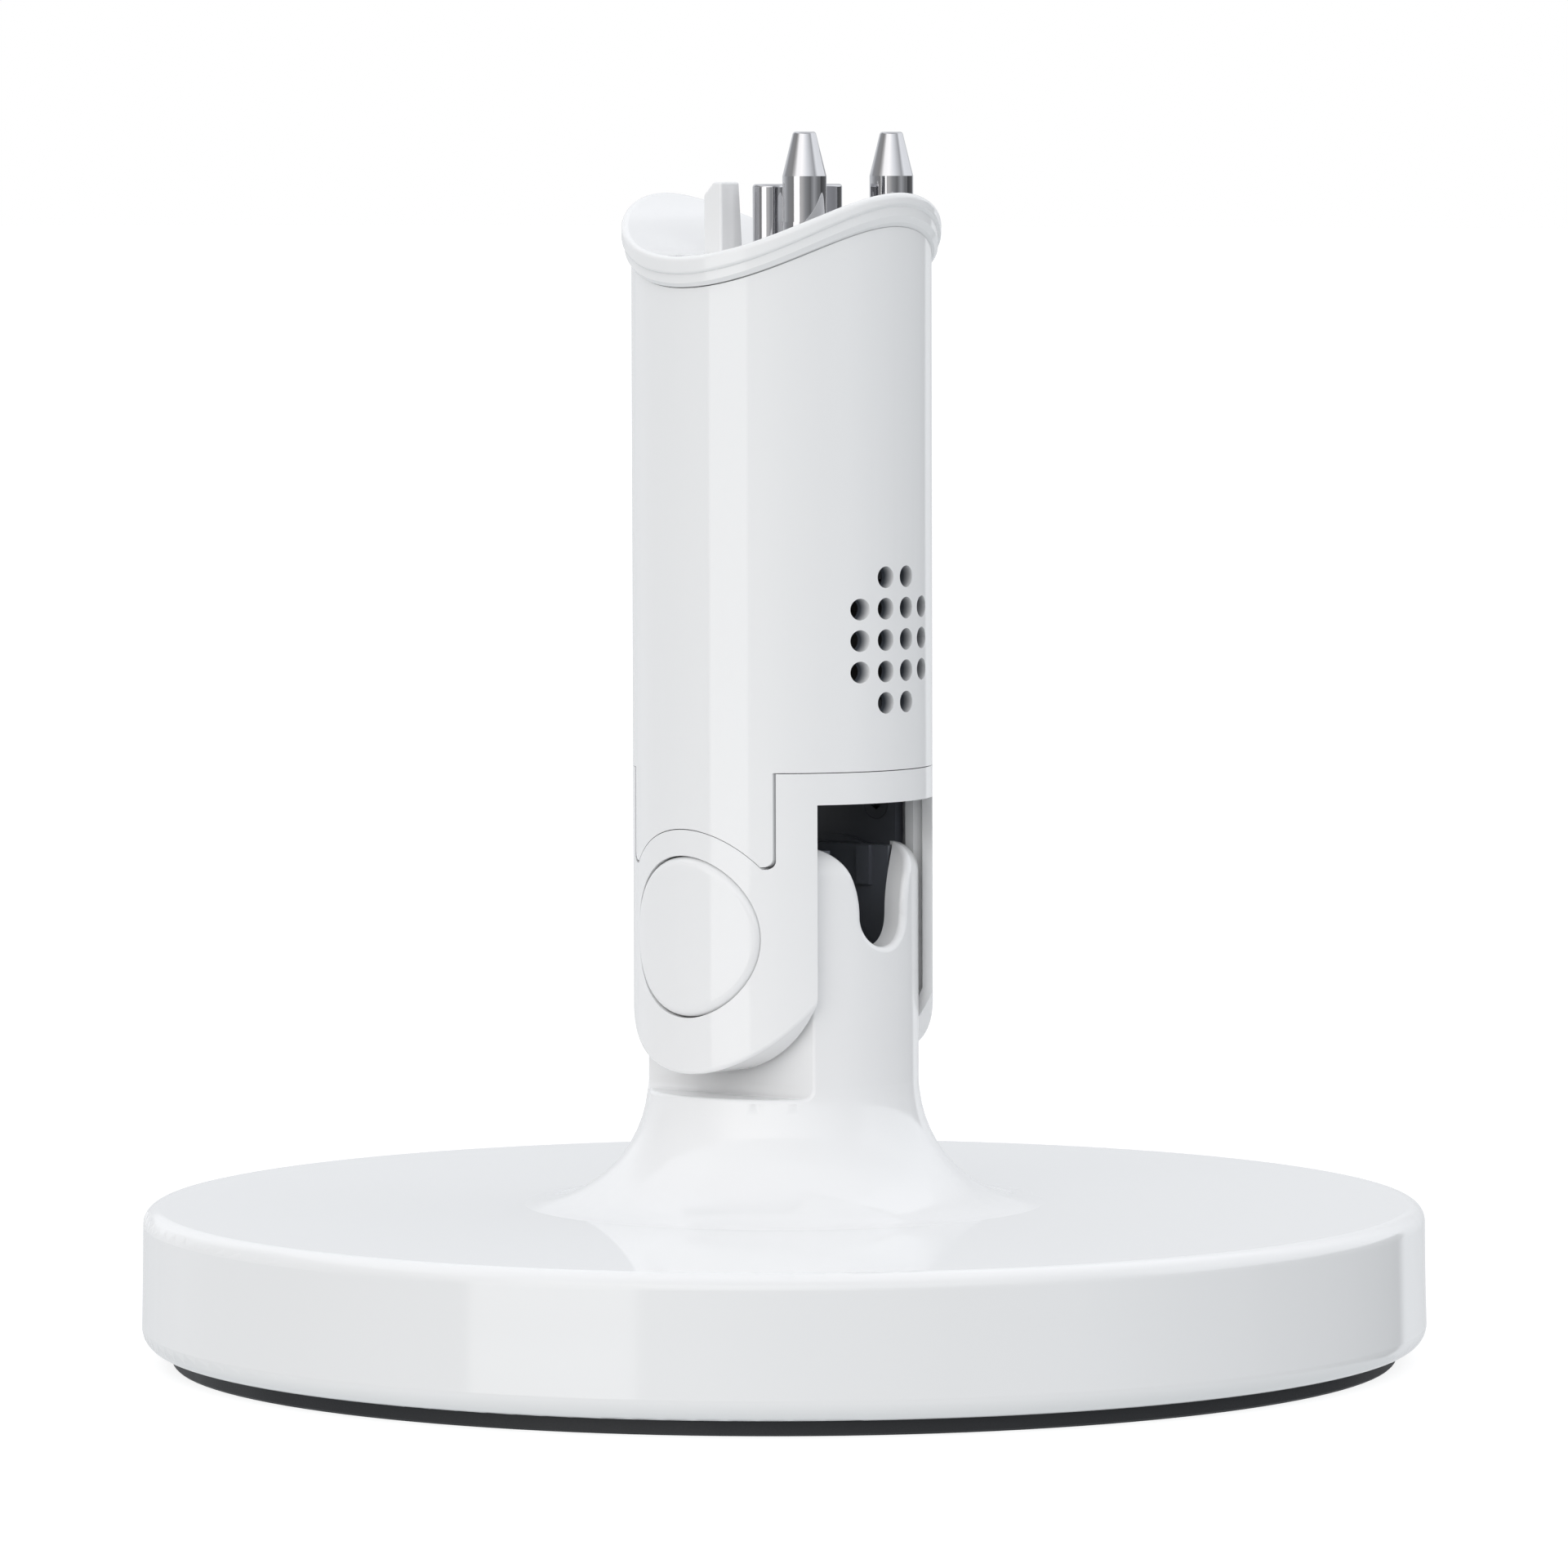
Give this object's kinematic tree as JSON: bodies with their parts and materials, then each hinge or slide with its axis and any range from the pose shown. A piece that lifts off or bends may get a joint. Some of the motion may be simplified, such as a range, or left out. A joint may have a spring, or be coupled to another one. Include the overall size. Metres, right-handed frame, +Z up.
{
  "type": "customer display stand",
  "caption": "Round weighted desk base with a flared neck and a short tilting post; the post has a grille and a docking head with two guide pins and a plug.",
  "frame": {"origin": "centre of the underside of the rubber pad", "axes": "+Z up along the axis of the base; -Y is the front, the side of the grille and of the yoke's opening; the tilt hinge lies along X"},
  "size_m": [0.18, 0.18, 0.1716],
  "materials": {
    "white_shell": "glossy moulded",
    "black_plastic": "satin moulded",
    "rubber_foot": "matte",
    "zinc_steel": "zinc plated",
    "chrome_metal": "polished",
    "brass_metal": "satin",
    "circuit_board": "solder mask",
    "speaker_paper": "paper cone",
    "foam": "closed-cell foam",
    "lead_jacket": "soft jacket"
  },
  "bodies": {
    "base": {"base_shell": "white_shell", "bottom_plate": "zinc_steel", "rubber_pad": "rubber_foot", "ballast_weight": "zinc_steel", "base_screws": "zinc_steel", "inlet_board": "circuit_board", "inlet_board_screws": "zinc_steel", "inlet_socket": "chrome_metal", "base_lead": "lead_jacket", "lead_plug": "black_plastic", "hinge_frame": "black_plastic", "frame_screws": "zinc_steel", "hinge_bush_right": "brass_metal", "hinge_bush_left": "brass_metal"},
    "arm": {"yoke": "white_shell", "tube_shell": "white_shell", "arm_frame": "black_plastic", "yoke_screws": "zinc_steel", "hinge_bolt": "zinc_steel", "hinge_nut": "zinc_steel", "spring_washers": "zinc_steel", "friction_washer_right": "black_plastic", "friction_washer_left": "black_plastic", "hinge_cap_right": "white_shell", "hinge_cap_left": "white_shell", "top_cap": "white_shell", "guide_pins": "chrome_metal", "plug_shell": "chrome_metal", "plug_insulator": "black_plastic", "plug_contacts": "brass_metal", "connector_board": "circuit_board", "connector_screws": "zinc_steel", "speaker_frame": "zinc_steel", "speaker_cone": "speaker_paper", "speaker_magnet": "zinc_steel", "speaker_gasket": "foam", "amplifier_board": "circuit_board", "amplifier_parts": "black_plastic", "amplifier_screws": "zinc_steel", "arm_lead": "lead_jacket"}
  },
  "joints": [
    {"name": "post_tilt", "type": "hinge", "parent": "base", "child": "arm", "pos_m": [0, 0, 0.06043], "axis": [1, 0, 0], "range_deg": [-20, 60]}
  ]
}
